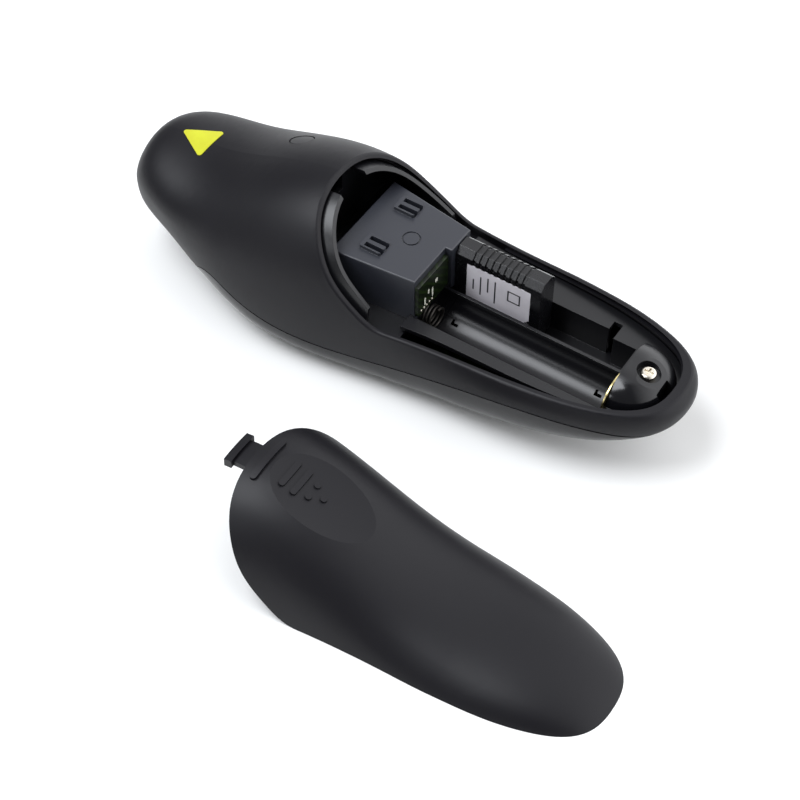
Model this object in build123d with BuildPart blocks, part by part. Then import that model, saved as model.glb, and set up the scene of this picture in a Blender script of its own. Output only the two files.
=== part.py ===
"""Hand-held wireless presenter, lying on its keys with the battery cover taken off beside it.

X runs from the nose to the tail, Y across, Z up from the surface that the keys face.
The origin is on that surface, under the flat of the grip.  All sizes are in millimetres.
"""
import os
from math import atan2, degrees, radians, tan

from build123d import *

os.makedirs("parts", exist_ok=True)

# ---------------------------------------------------------------- driving dimensions
# grip skin: station, half width, height of the widest line, crown, belly
NOSE = (-60.0, 20.3)
TAIL = (85.5, 18.9)
STATIONS = (
    (-58.8, 8.0, 20.3, 25.6, 15.4),
    (-56.0, 12.6, 20.5, 28.6, 12.2),
    (-50.0, 15.9, 21.0, 29.8, 9.8),
    (-42.0, 18.4, 20.0, 30.0, 7.1),
    (-32.0, 21.5, 17.0, 32.3, 4.4),
    (-20.0, 24.2, 12.9, 37.0, 1.8),
    (-8.0, 24.6, 10.0, 40.6, 0.2),
    (4.0, 23.2, 9.1, 41.2, -0.35),
    (16.0, 21.5, 9.9, 38.3, -0.25),
    (30.0, 20.2, 12.0, 32.7, 0.6),
    (44.0, 19.6, 14.4, 28.8, 2.2),
    (57.0, 18.5, 16.1, 27.5, 4.8),
    (68.0, 16.4, 17.0, 27.2, 8.3),
    (76.0, 13.7, 17.5, 26.0, 12.3),
    (81.5, 10.2, 18.0, 24.0, 15.4),
    (84.5, 5.6, 18.4, 21.6, 17.1),
)
NOSE_FULLNESS = 1.9        # how square the crown is across, at the nose and at the tail
TAIL_FULLNESS = 2.7
BELLY_FULLNESS = 3.2
WALL = 1.8                 # both shells
END_WALL = 2.6             # where the skin closes at nose and tail
COVER_WALL = 1.6
SEAM_GAP = 0.35            # shadow line between the shells
SEAM_LIP = 1.2             # inner lip that stands across the shadow line
LIP_WALL = 0.8
LIP_ROOT = 1.5
FIT = 0.2                  # clearance round parts that drop into the shells
RUN = 0.3                  # clearance round parts that move

# seam between the shells, seen from the side
SEAM = (
    (-38.0, -3.0), (-35.8, 7.0), (-30.0, 13.6), (-20.0, 12.3), (-8.0, 9.7), (4.0, 8.9),
    (16.0, 9.8), (30.0, 12.0), (44.0, 14.5), (57.0, 16.0), (72.0, 16.5), (90.0, 16.6),
)

# cover opening: straight rim rising to the tail, and the arch where the nose shell ends
RIM_Z = 20.0
RIM_SLOPE = 2.4
ARCH_FOOT = 19.4
ARCH = ((11.5, 23.0), (5.0, 28.0), (-0.2, 34.0), (-4.2, 39.2), (-7.5, 45.0))
ABOVE = 50.0               # past everything on top
BESIDE = 40.0              # past everything at the sides
COVER_GAP = 0.15
RIM_WALL = 1.0             # the shell is rebated to this along the opening
RIM_STEP = 1.3
RIM_ROUND = 0.7
RIM_SLOT_X = (13.5, 28.0)  # deeper stretch of the rebate for the cover's catch
RIM_SLOT_DEEP = 3.4

# battery: one AAA cell
CELL_Y = -5.5
CELL_Z = 17.3
TROUGH_R = 5.65
TROUGH_FRONT = 21.6
TROUGH_END = 70.0
TRAY_WALL = 0.8
LEDGE_Z = 19.0
LEDGE_THICK = 1.2
LEDGE_EDGE = ((TROUGH_FRONT - 1, -15.1), (46.0, -14.0), (61.0, -13.2), (TROUGH_END, -11.6))

# receiver, stored on edge
RECEIVER_LONG = 22.2
RECEIVER_THICK = 6.0
RECEIVER_TALL = 17.8
RECEIVER_X = 23.5
RECEIVER_Y = 6.4
RECEIVER_Z = 11.7
RECEIVER_TRAVEL = 14.0
PLUG_WIDE = 12.0
PLUG_THICK = 4.4
PLUG_LONG = 12.6
PLUG_WALL = 0.35
PLUG_ROUND = 0.5
PLUG_WINDOW = 2.2          # side of a latch window, its middle from the body and from the axis
PLUG_WINDOW_X = 6.5
PLUG_WINDOW_Z = 2.9
INSULATOR_SINK = 0.5
INSULATOR_THICK = 1.7
RECEIVER_WALL = 0.9
RECEIVER_RIBS = 9
RECEIVER_RIB_PITCH = 1.6
RECEIVER_RIB_DEEP = 0.45
RECEIVER_RIB_FOOT = 0.76   # how far up the ribs start, as a share of the height
RECEIVER_BOARD_LONG = (0.95, 18.0)
RECEIVER_BOARD_THICK = 0.8
RECEIVER_BOARD_RISE = (1.5, 4.0)
LABEL_THICK = 0.15
LABEL_CORNER = 1.2
LABEL_X = (RECEIVER_X + 3.0, RECEIVER_X + 19.6)
LABEL_Z = (RECEIVER_Z + 4.2, RECEIVER_Z + 14.6)

# bay beside the trough
BAY_Y = (0.9, 10.0)
BAY_STEP_X = 61.4          # behind the receiver's travel the bay is narrower
BAY_REAR_Y = 8.0
BAY_END = 68.0
BAY_FLOOR = 10.6
BAY_WALL = 1.0             # past the hollows at their ends, side and floor
BAY_NOTCH = (60.0, 62.2, 2.6)
POLARITY_SLOTS = (26.6, 64.2)
POLARITY_LONG = 1.8
POLARITY_WIDE = 0.6

# module housing, the box in front of the trough
HOUSING_X = (0.4, 21.6)
HOUSING_FRONT_Y = (-12.8, 13.2)
HOUSING_REAR_Y = (-10.8, 9.7)
HOUSING_STEP_X = 23.3
HOUSING_STEP_Y = 1.9
HOUSING_TOP = 30.0
HOUSING_WALL = 1.2
FLOOR_Z = 17.3
FLOOR_THICK = 1.0
HOOKS = ((7.9, 7.7), (8.1, -6.4))
HOOK_LONG = 5.6
HOOK_WIDE = 4.4
HOOK_HIGH = 0.9
HOOK_ROUND = 0.5
HOOK_SLOT = 1.2
HOOK_SLOT_END = 1.0
HOOK_SLOTS = ((0.5, 1.0), (0.5, -1.2))
HOUSING_ROUND = 0.35
MARK_X = 13.7
MARK_D = 4.4
MARK_LINE = 0.4
MARK_DEEP = 0.3

# collar under the arch, bulkhead
COLLAR_WALL = 0.9
COLLAR_REACH = 1.1
COLLAR_ROOT = 4.0          # how far it goes on behind the arch and down to the floor
COLLAR_END = 14.0
BULKHEAD_X = -9.5
BULKHEAD_THICK = 1.2
LATCH_GAP = 4.6
LATCH_Z = 30.0

# tail dome and its screw
DOME_X = 71.0
DOME_R = 10.2
DOME_TOP = 24.4
DOME_SHOULDER = ((0.5, 0.4), (0.85, 2.6))  # share of the radius, drop from the top
TAIL_POCKET_X = (78.8, 83.0)
TAIL_POCKET_Y = (-3.4, 1.2)
SCREW_X = 74.9
SCREW_WELL_D = 5.5
SCREW_HEAD_D = 3.6
SCREW_HEAD_H = 1.5
SCREW_HEAD_TOP = 23.9
SCREW_D = 2.0
SCREW_HEAD_ROUND = 0.6
SCREW_LONG = 8.0           # depth of its hole
SCREW_SPARE = 1.0          # left under its tip
CROSS_LONG = 2.2
CROSS_WIDE = 0.5
CROSS_DEEP = 1.2
BOSS_D = 5.4

# boards
BOARD_BOSSES = ((-27.5, 8.0), (-27.5, -8.0), (40.0, 8.0), (40.0, -8.0))
BOARD_BOSS_D = 5.0
BOARD_SCREW_D = 1.8
BOARD_SCREW_DEEP = 2.6
BOARD_SCREW_HEAD = 1.1
BOARD_HOLE_FIT = 0.1
BOARD_ROUND = 5.0
MAIN_BOARD_Z = 7.0
BOARD_THICK = 1.2
MAIN_BOARD_X = (-31.0, 46.0)
MAIN_BOARD_Y = 12.0
REAR_BOARD_Y = (-10.6, 1.6)
REAR_BOARD_Z = (19.0, 28.2)
REAR_BOARD_THICK = 1.0
BOARD_TOP = MAIN_BOARD_Z + BOARD_THICK
CHIP_X = (-24.0, -17.0)
CHIP_Y = (-3.5, 3.5)
CHIP_HIGH = 1.0
CHIP_BEVEL = 0.2
CRYSTAL_AT = (-12.0, 4.0)
CRYSTAL_LONG = 9.0
CRYSTAL_WIDE = 4.0
CRYSTAL_HIGH = 3.0
CRYSTAL_ROUND = 0.6

# keys, pressed towards the main board
PANEL_LONG = 48.0
PANEL_WIDE = 17.0
KEY_SINK = 0.5
KEY_TOP = 5.2
KEY_TRAVEL = 0.4
KEY_FLANGE = 0.9
LASER_KEY_X = -15.5
LASER_KEY_D = 8.0
PAGE_KEY_X = 5.4           # each side of the panel's middle
PAGE_KEY_LONG = 8.6
PAGE_KEY_WIDE = 13.0
BLANK_KEY_X = 16.6
BLANK_KEY_D = 6.6
SWITCH_D = 4.6
SWITCH_H = 0.8
PLUNGER_D = 2.0
PLUNGER_GAP = 0.1

# power slide
SLIDE_X = 30.0
SLIDE_LONG = 7.0
SLIDE_WIDE = 5.0
SLIDE_TRAVEL = 3.0
SLIDE_SINK = 0.4
SLIDE_GROOVES = (-2, -1, 0, 1, 2)
SLIDE_GROOVE_WIDE = 0.5
SLIDE_GROOVE_TOP = 1.4
SLIDE_FLANGE = (2.0, 3.0, 1.2)  # past the cap in front, behind and at each side
POWER_SWITCH_X = (SLIDE_X - 4.0, SLIDE_X + 6.0)
POWER_SWITCH_Y = (-1.9, 1.9)
POWER_SWITCH_H = 1.1

# connect button on the flank
CONNECT_AT = (-22.5, 9.0, 34.5)
CONNECT_OUT = (-0.30, 0.39, 0.87)
CONNECT_D = 5.5
CONNECT_TRAVEL = 0.4
CONNECT_SINK = 0.1
CONNECT_WELL = 6.4
CONNECT_WALL = 0.9
CONNECT_FLANGE = 1.2

# laser
LASER_Z = 19.6
BARREL_D = 6.4
BARREL_LONG = 14.0
BARREL_FRONT = -56.2
BARREL_MOUTH_D = 3.2
BARREL_MOUTH_DEEP = 3.0
WINDOW_D = 5.0
WINDOW_GAP = 0.1
WINDOW_SINK = 0.2

STATUS_X = -27.0
STATUS_D = 2.4
STATUS_FIT = 0.1

# battery contacts
PLATE_THICK = 0.35
PLATE_FIT = 0.1
PLATE_CROWN = 0.7          # how far the plate's top stands past the trough
PLATE_BUTTON_D = 3.6
PLATE_BUTTON_HIGH = 0.5
SPRING_WIRE = 0.6
SPRING_R = 2.6
SPRING_TURNS = 3
SPRING_PITCH = 0.9
SPRING_GAP = 0.02
SPRING_DROP = 2.4          # its middle lies this far under the cell's

# cover details, at their places on the closed grip
TONGUE_X = (-10.6, 1.0)
TONGUE_WIDE = 6.6
TONGUE_THICK = 1.3
TONGUE_BAR_LONG = 1.9
TONGUE_BAR_WIDE = 8.2
TONGUE_BAR_HIGH = 1.0
RIB_X = -2.0
RIB_LONG = 12.0
RIB_WIDE = 1.5
RIB_HIGH = 0.7
DISH_FRONT = (0.6, 41.15)  # ends of the thumb dish on the crown, along and up
DISH_REAR = (25.5, 34.75)
DISH_WIDE = 13.6
DISH_DEEP = 0.35           # below the chord between its ends
DISH_ROUND = 2.4           # how high above its floor the dish is still widening
GRIP_BARS = (3.6, 6.5)
GRIP_BAR_LONG = 7.2
GRIP_BAR_WIDE = 1.3
GRIP_DOTS = ((9.4, 1.7), (9.4, -1.7), (12.1, 0.0))
GRIP_DOT_D = 1.4
GRIP_HIGH = 0.45
COVER_SHIFT = (20.5, -63.1)

# sticker on the nose
STICKER_SIDE = 10.4
STICKER_X = -45.2          # centre of the triangle
STICKER_THICK = 0.15
STICKER_ROUND = 0.7


# ---------------------------------------------------------------- skin and cutting solids
def rim_height(x):
    return RIM_Z + (x - ARCH_FOOT) * tan(radians(RIM_SLOPE))


def fullness(x):
    share = (x - NOSE[0]) / (TAIL[0] - NOSE[0])
    return NOSE_FULLNESS + (TAIL_FULLNESS - NOSE_FULLNESS) * share


def handle(power):
    """Bezier handle of a quarter curve that passes the middle of a superellipse of that power."""
    return (8 * 0.5 ** (1 / power) - 4) / 3


def section(x, half_width, widest, crown, belly, inset):
    """One closed cross-section of the grip, moved inwards by inset."""
    wide = half_width - inset
    top = crown - inset
    bottom = belly + inset
    up = handle(fullness(x))
    down = handle(BELLY_FULLNESS)
    with BuildSketch(Plane.YZ.offset(x)) as outline:
        with BuildLine():
            side = (wide, widest)
            Bezier((0, bottom), (down * wide, bottom), (wide, widest - down * (widest - bottom)), side)
            Bezier(side, (wide, widest + up * (top - widest)), (up * wide, top), (0, top))
            mirror(about=Plane.YZ)
        make_face()
    return outline.sketch.face()


def skin(inset=0.0):
    """The whole grip as one solid, with its skin moved inwards by inset."""
    end_inset = inset * END_WALL / WALL
    rows = STATIONS if inset < 1 else STATIONS[1:-1]
    middle = (NOSE[0] + TAIL[0]) / 2
    half = (TAIL[0] - NOSE[0]) / 2
    sections = []
    for x, *sizes in rows:
        towards_end = (x - middle) / half
        moved = x - end_inset * towards_end**7
        sections.append(section(moved, *sizes, inset))
    nose = Vertex(NOSE[0] + end_inset, 0, NOSE[1])
    tail = Vertex(TAIL[0] - end_inset, 0, TAIL[1])
    with BuildPart() as solid:
        loft(sections=[nose, *sections, tail])
    return solid.part


def below_seam(shift=0.0):
    """Everything under the seam line, which shift raises."""
    with BuildPart() as region:
        with BuildSketch(Plane.XZ):
            with BuildLine():
                line = Spline(*[(x, z + shift) for x, z in SEAM])
                Polyline(line @ 1, (SEAM[-1][0], -ABOVE), (SEAM[0][0], -ABOVE), line @ 0)
            make_face()
        extrude(amount=BESIDE, both=True)
    return region.part


def cover_region(gap=0.0):
    """Everything behind the arch and above the rim; gap draws it back."""
    far = TAIL[0] + 10
    with BuildPart() as region:
        with BuildSketch(Plane.XZ):
            with BuildLine():
                foot = (ARCH_FOOT, RIM_Z + gap)
                along = (-1, -tan(radians(RIM_SLOPE)))
                arch = Spline(foot, *[(x + gap, z + gap) for x, z in ARCH], tangents=[along, (-0.5, 1)])
                Polyline(arch @ 1, (far, ABOVE), (far, rim_height(far) + gap), foot)
            make_face()
        extrude(amount=BESIDE, both=True)
    return region.part


def slab(x_range, y_range, z_range, mode=Mode.ADD):
    """A block between two corners."""
    spans = (x_range, y_range, z_range)
    middle = tuple((low + high) / 2 for low, high in spans)
    size = [high - low for low, high in spans]
    with Locations(middle):
        Box(*size, mode=mode)


OUTER = skin(0)
INNER = skin(WALL)
SEATED = skin(WALL + FIT)
LIP_INNER = skin(WALL + LIP_WALL)


def finish(builder, label):
    builder.part.label = label
    export_step(builder.part, f"parts/{label}.step")


# ---------------------------------------------------------------- shared outlines
CONNECT_PLANE = Plane(origin=CONNECT_AT, z_dir=CONNECT_OUT)
KEYS = {
    "laser_key": (LASER_KEY_X, LASER_KEY_D, LASER_KEY_D),
    "page_back_key": (-PAGE_KEY_X, PAGE_KEY_LONG, PAGE_KEY_WIDE),
    "page_forward_key": (PAGE_KEY_X, PAGE_KEY_LONG, PAGE_KEY_WIDE),
    "blank_key": (BLANK_KEY_X, BLANK_KEY_D, BLANK_KEY_D),
}


def key_outline(name, grow=0.0):
    """Outline of one key on the XY plane: round, or an upright pad with round corners."""
    x, long, wide = KEYS[name]
    with BuildSketch() as outline:
        with Locations((x, 0)):
            if long == wide:
                Circle(long / 2 + grow)
            else:
                RectangleRounded(long + 2 * grow, wide + 2 * grow, long / 3 + grow)
    return outline.sketch


def panel_outline(grow=0.0):
    with BuildSketch() as outline:
        SlotOverall(PANEL_LONG + 2 * grow, PANEL_WIDE + 2 * grow)
    return outline.sketch


def housing_outline(inset=0.0):
    """Plan of the module housing, a tapered box with a step for the receiver."""
    front_near, front_far = HOUSING_FRONT_Y
    rear_near, rear_far = HOUSING_REAR_Y
    front, rear = HOUSING_X
    with BuildSketch() as outline:
        with BuildLine():
            Polyline(
                (front, front_near),
                (rear, rear_near),
                (rear, HOUSING_STEP_Y),
                (HOUSING_STEP_X, HOUSING_STEP_Y),
                (HOUSING_STEP_X, rear_far),
                (front, front_far),
                close=True,
            )
        make_face()
        if inset:
            offset(amount=-inset, kind=Kind.INTERSECTION)
    return outline.sketch


def post(x, y, diameter, low, high, mode=Mode.ADD):
    """Upright round post or hole between two heights."""
    with Locations((x, y, (low + high) / 2)):
        Cylinder(diameter / 2, high - low, mode=mode)


def along_x(y, z, diameter, start, end, mode=Mode.ADD):
    """Round bar or bore along the grip."""
    with Locations(Location(((start + end) / 2, y, z), (0, 90, 0))):
        Cylinder(diameter / 2, end - start, mode=mode)


# ---------------------------------------------------------------- shells
def make_seam_lip():
    """Lip along the inside of the seam; its root merges with the wall below the seam."""
    with BuildPart() as root:
        add(skin(WALL / 2))
        add(below_seam(-FIT), mode=Mode.INTERSECT)
    with BuildPart() as lip:
        add(skin(WALL + FIT / 2))
        add(below_seam(SEAM_LIP), mode=Mode.INTERSECT)
        add(root.part)
        add(LIP_INNER, mode=Mode.SUBTRACT)
        add(below_seam(-LIP_ROOT), mode=Mode.SUBTRACT)
    return lip.part


def make_front_shell():
    """Button-side shell: key window, slide slot, light hole, screw bosses and a flat belly."""
    slot_long = SLIDE_LONG + SLIDE_TRAVEL + 2 * RUN
    with BuildPart() as bosses:
        for x, y in BOARD_BOSSES:
            post(x, y, BOARD_BOSS_D, 0, MAIN_BOARD_Z)
        post(SCREW_X, 0, BOSS_D, 0, LEDGE_Z - LEDGE_THICK - FIT)
        add(skin(WALL / 2), mode=Mode.INTERSECT)
    with BuildPart() as shell:
        add(OUTER)
        add(INNER, mode=Mode.SUBTRACT)
        add(below_seam(), mode=Mode.INTERSECT)
        extrude(panel_outline(), amount=FLOOR_Z, mode=Mode.SUBTRACT)
        with BuildSketch():
            with Locations((SLIDE_X + SLIDE_TRAVEL / 2, 0)):
                RectangleRounded(slot_long, SLIDE_WIDE + 2 * RUN, SLIDE_WIDE / 4)
        extrude(amount=MAIN_BOARD_Z, mode=Mode.SUBTRACT)
        post(STATUS_X, 0, STATUS_D, 0, MAIN_BOARD_Z, Mode.SUBTRACT)
        add(bosses.part)
        add(make_seam_lip())
        for x, y in BOARD_BOSSES:
            post(x, y, BOARD_SCREW_D, MAIN_BOARD_Z - BOARD_SCREW_DEEP, ABOVE, Mode.SUBTRACT)
        post(SCREW_X, 0, SCREW_D, SCREW_HEAD_TOP - SCREW_HEAD_H - SCREW_LONG, LEDGE_Z, Mode.SUBTRACT)
        slab((-ABOVE * 2, ABOVE * 2), (-BESIDE, BESIDE), (-ABOVE, 0), Mode.SUBTRACT)
    return shell


def make_back_shell():
    """Nose and flanks in one shell, ending at the arch and the rim, which carry a rebate for the cover."""
    with BuildPart() as button_well:
        with BuildSketch(CONNECT_PLANE.offset(-CONNECT_WELL)):
            Circle(CONNECT_D / 2 + CONNECT_FLANGE + RUN + CONNECT_WALL)
            Circle(CONNECT_D / 2 + CONNECT_FLANGE + RUN, mode=Mode.SUBTRACT)
        extrude(amount=CONNECT_WELL)
        add(skin(WALL / 2), mode=Mode.INTERSECT)
    with BuildPart() as rebate:
        add(skin(RIM_WALL))
        add(cover_region(-RIM_STEP), mode=Mode.INTERSECT)
    with BuildPart() as rim_slot:
        slab(RIM_SLOT_X, (0, BESIDE), (RIM_Z - RIM_SLOT_DEEP, ABOVE))
        add(skin(RIM_WALL), mode=Mode.INTERSECT)
    with BuildPart() as shell:
        add(OUTER)
        add(cover_region(), mode=Mode.SUBTRACT)
        opening = shell.faces().filter_by(lambda face: abs(face.normal_at().Y) < 0.001)
        fillet(opening.edges().filter_by(Axis.Y, reverse=True), RIM_ROUND)
        add(INNER, mode=Mode.SUBTRACT)
        add(below_seam(SEAM_GAP), mode=Mode.SUBTRACT)
        add(rebate.part, mode=Mode.SUBTRACT)
        add(rim_slot.part, mode=Mode.SUBTRACT)
        add(button_well.part)
        with BuildSketch(CONNECT_PLANE.offset(-3 * WALL)):
            Circle(CONNECT_D / 2 + RUN)
        extrude(amount=6 * WALL, mode=Mode.SUBTRACT)
        along_x(0, LASER_Z, WINDOW_D, NOSE[0] - WALL, BARREL_FRONT, Mode.SUBTRACT)
    return shell


def upright_columns(outline):
    """Columns on an outline drawn on the XY plane, up through the crown."""
    with BuildPart() as columns:
        extrude(outline, amount=ABOVE)
        slab((-ABOVE, ABOVE), (-BESIDE, BESIDE), (0, FLOOR_Z), Mode.SUBTRACT)
    return columns.part


def make_dish(grow=0.0):
    """Ellipsoid that scoops the thumb dish out of the crown; grow makes it larger all round."""
    front, rear = Vector(DISH_FRONT[0], 0, DISH_FRONT[1]), Vector(DISH_REAR[0], 0, DISH_REAR[1])
    chord = rear - front
    tilt = degrees(atan2(-chord.Z, chord.X))
    half_high = DISH_DEEP + DISH_ROUND
    widening = (1 - (DISH_ROUND / half_high) ** 2) ** 0.5
    size = (chord.length / 2 / widening, DISH_WIDE / 2 / widening, half_high)
    with BuildPart() as dish:
        Sphere(1)
        scale(by=tuple(side + grow for side in size))
    middle = front + chord * 0.5
    return Pos(middle.X, 0, middle.Z) * Rot(0, tilt, 0) * Pos(0, 0, DISH_ROUND) * dish.part


def make_tongue():
    """Latch tongue under the crown with a raised bar across its tip."""
    tip, root = TONGUE_X
    with BuildPart() as tongue:
        slab(TONGUE_X, (-TONGUE_WIDE / 2, TONGUE_WIDE / 2), (FLOOR_Z, ABOVE))
        add(skin(COVER_WALL - FIT), mode=Mode.INTERSECT)
        add(skin(COVER_WALL + TONGUE_THICK), mode=Mode.SUBTRACT)
    with BuildPart() as bar:
        slab((tip, tip + TONGUE_BAR_LONG), (-TONGUE_BAR_WIDE / 2, TONGUE_BAR_WIDE / 2), (FLOOR_Z, ABOVE))
        add(skin(COVER_WALL - TONGUE_BAR_HIGH), mode=Mode.INTERSECT)
        add(skin(COVER_WALL + TONGUE_THICK), mode=Mode.SUBTRACT)
        add(tongue.part)
    return bar.part


def make_battery_cover():
    """Deep arched cover with tongue, rib, thumb dish, grip bars and dots."""
    dish = make_dish()
    with BuildSketch() as grips:
        with Locations(*[(x, 0) for x in GRIP_BARS]):
            SlotOverall(GRIP_BAR_LONG, GRIP_BAR_WIDE, rotation=90)
        with Locations(*GRIP_DOTS):
            Circle(GRIP_DOT_D / 2)
    with BuildPart() as raised:
        add(upright_columns(grips.sketch))
        add(Pos(0, 0, -GRIP_HIGH) * dish, mode=Mode.INTERSECT)
        add(Pos(0, 0, GRIP_HIGH) * dish, mode=Mode.SUBTRACT)
    with BuildSketch() as rib_outline:
        with Locations((RIB_X, 0)):
            SlotOverall(RIB_LONG, RIB_WIDE, rotation=90)
    with BuildPart() as rib:
        add(upright_columns(rib_outline.sketch))
        add(skin(-RIB_HIGH), mode=Mode.INTERSECT)
        add(skin(COVER_WALL / 2), mode=Mode.SUBTRACT)
    with BuildPart() as backing:
        add(make_dish(COVER_WALL))
        add(skin(COVER_WALL / 2), mode=Mode.INTERSECT)
    with BuildPart() as cover:
        add(OUTER)
        add(skin(COVER_WALL), mode=Mode.SUBTRACT)
        add(cover_region(COVER_GAP), mode=Mode.INTERSECT)
        add(backing.part)
        add(dish, mode=Mode.SUBTRACT)
        add(raised.part)
        add(rib.part)
        add(make_tongue())
    shift_x, shift_y = COVER_SHIFT
    laid = (
        Pos(ARCH_FOOT + shift_x, shift_y, 0)
        * Rot(0, RIM_SLOPE, 0)
        * Pos(-ARCH_FOOT, 0, -RIM_Z - COVER_GAP)
        * cover.part
    )
    with BuildPart() as battery_cover:
        add(laid)
    return battery_cover


front_shell = make_front_shell()
finish(front_shell, "front_shell")
back_shell = make_back_shell()
finish(back_shell, "back_shell")
battery_cover = make_battery_cover()
finish(battery_cover, "battery_cover")


# ---------------------------------------------------------------- tray and housing
def make_tray():
    """Inner moulding: floor, collar, bulkhead, trough, receiver bay, ledges and tail dome."""
    near = CELL_Y - TROUGH_R
    far = CELL_Y + TROUGH_R
    hollow = (TROUGH_FRONT - BAY_WALL, TROUGH_END + BAY_WALL)
    plug_y = (RECEIVER_Y - PLUG_THICK / 2 - RUN, RECEIVER_Y + PLUG_THICK / 2 + RUN)
    plug_z = (RECEIVER_Z + RECEIVER_TALL / 2 - PLUG_WIDE / 2 - RUN, ABOVE)
    with BuildPart() as collar:
        add(cover_region(-COLLAR_ROOT))
        add(cover_region(COLLAR_REACH), mode=Mode.SUBTRACT)
        slab((COLLAR_END, ABOVE * 2), (-BESIDE, BESIDE), (0, ABOVE), Mode.SUBTRACT)
        add(SEATED, mode=Mode.INTERSECT)
        add(skin(WALL + FIT + COLLAR_WALL), mode=Mode.SUBTRACT)
    with BuildPart() as dome:
        with BuildSketch(Plane.XZ):
            with BuildLine():
                crest = Spline(
                    (0, DOME_TOP),
                    *[(DOME_R * share, DOME_TOP - drop) for share, drop in DOME_SHOULDER],
                    (DOME_R, LEDGE_Z - LEDGE_THICK),
                    tangents=[(1, 0), (0.15, -1)],
                )
                Polyline(crest @ 1, (0, LEDGE_Z - LEDGE_THICK), crest @ 0)
            make_face()
        revolve(axis=Axis.Z)
        slab((-ABOVE, TROUGH_END - DOME_X), (-BESIDE, BESIDE), (0, ABOVE), Mode.SUBTRACT)
    with BuildPart() as housing_seat:
        with BuildSketch(Plane.XY.offset(FLOOR_Z)):
            add(housing_outline())
        extrude(amount=ABOVE)
    with BuildPart() as tray:
        slab((BULKHEAD_X, TROUGH_FRONT), (-BESIDE, BESIDE), (FLOOR_Z - FLOOR_THICK, FLOOR_Z))
        slab((BULKHEAD_X, BULKHEAD_X + BULKHEAD_THICK), (-BESIDE, BESIDE), (FLOOR_Z - FLOOR_THICK, ABOVE))
        with BuildSketch(Plane.XY.offset(LEDGE_Z - LEDGE_THICK)):
            with BuildLine():
                edge = Spline(*LEDGE_EDGE)
                Polyline(
                    edge @ 1,
                    (TROUGH_END, -BESIDE),
                    (TAIL[0], -BESIDE),
                    (TAIL[0], BESIDE),
                    (LEDGE_EDGE[0][0], BESIDE),
                    edge @ 0,
                )
            make_face()
        extrude(amount=LEDGE_THICK)
        along_x(CELL_Y, CELL_Z, 2 * (TROUGH_R + TRAY_WALL), hollow[0], hollow[1])
        slab(hollow, (near - TRAY_WALL, far), (CELL_Z, LEDGE_Z))
        slab((TROUGH_FRONT, BAY_END + BAY_WALL), (far, BAY_Y[1] + BAY_WALL), (BAY_FLOOR - BAY_WALL, LEDGE_Z))
        slab(hollow, (near - BAY_WALL, BAY_Y[1]), (LEDGE_Z, ABOVE), Mode.SUBTRACT)
        add(housing_seat.part, mode=Mode.SUBTRACT)
        add(Pos(DOME_X, 0, 0) * dome.part)
        along_x(CELL_Y, CELL_Z, 2 * TROUGH_R, TROUGH_FRONT, TROUGH_END, Mode.SUBTRACT)
        slab((TROUGH_FRONT, TROUGH_END), (near, far), (CELL_Z, ABOVE), Mode.SUBTRACT)
        slab((TROUGH_FRONT + BAY_WALL, BAY_STEP_X), BAY_Y, (BAY_FLOOR, ABOVE), Mode.SUBTRACT)
        slab((BAY_STEP_X, BAY_END), (BAY_Y[0], BAY_REAR_Y), (BAY_FLOOR, ABOVE), Mode.SUBTRACT)
        slab(BAY_NOTCH[:2], (BAY_REAR_Y, BAY_Y[1] + BAY_NOTCH[2]), (BAY_FLOOR, ABOVE), Mode.SUBTRACT)
        for x in POLARITY_SLOTS:
            corner = CELL_Y + TROUGH_R / 2
            foot = corner - POLARITY_WIDE
            slab((x, x + POLARITY_LONG), (foot, corner), (0, CELL_Z), Mode.SUBTRACT)
            slab((x, x + POLARITY_WIDE), (foot, corner + POLARITY_WIDE), (0, CELL_Z), Mode.SUBTRACT)
        slab((RECEIVER_X - PLUG_LONG - 1, RECEIVER_X), plug_y, plug_z, Mode.SUBTRACT)
        add(SEATED, mode=Mode.INTERSECT)
        add(collar.part)
        slab((BULKHEAD_X - 1, 0), (-LATCH_GAP, LATCH_GAP), (LATCH_Z, ABOVE), Mode.SUBTRACT)
        slab(TAIL_POCKET_X, TAIL_POCKET_Y, (0, ABOVE), Mode.SUBTRACT)
        post(SCREW_X, 0, SCREW_WELL_D, SCREW_HEAD_TOP - SCREW_HEAD_H, ABOVE, Mode.SUBTRACT)
        post(SCREW_X, 0, SCREW_D + FIT, 0, ABOVE, Mode.SUBTRACT)
    return tray


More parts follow.
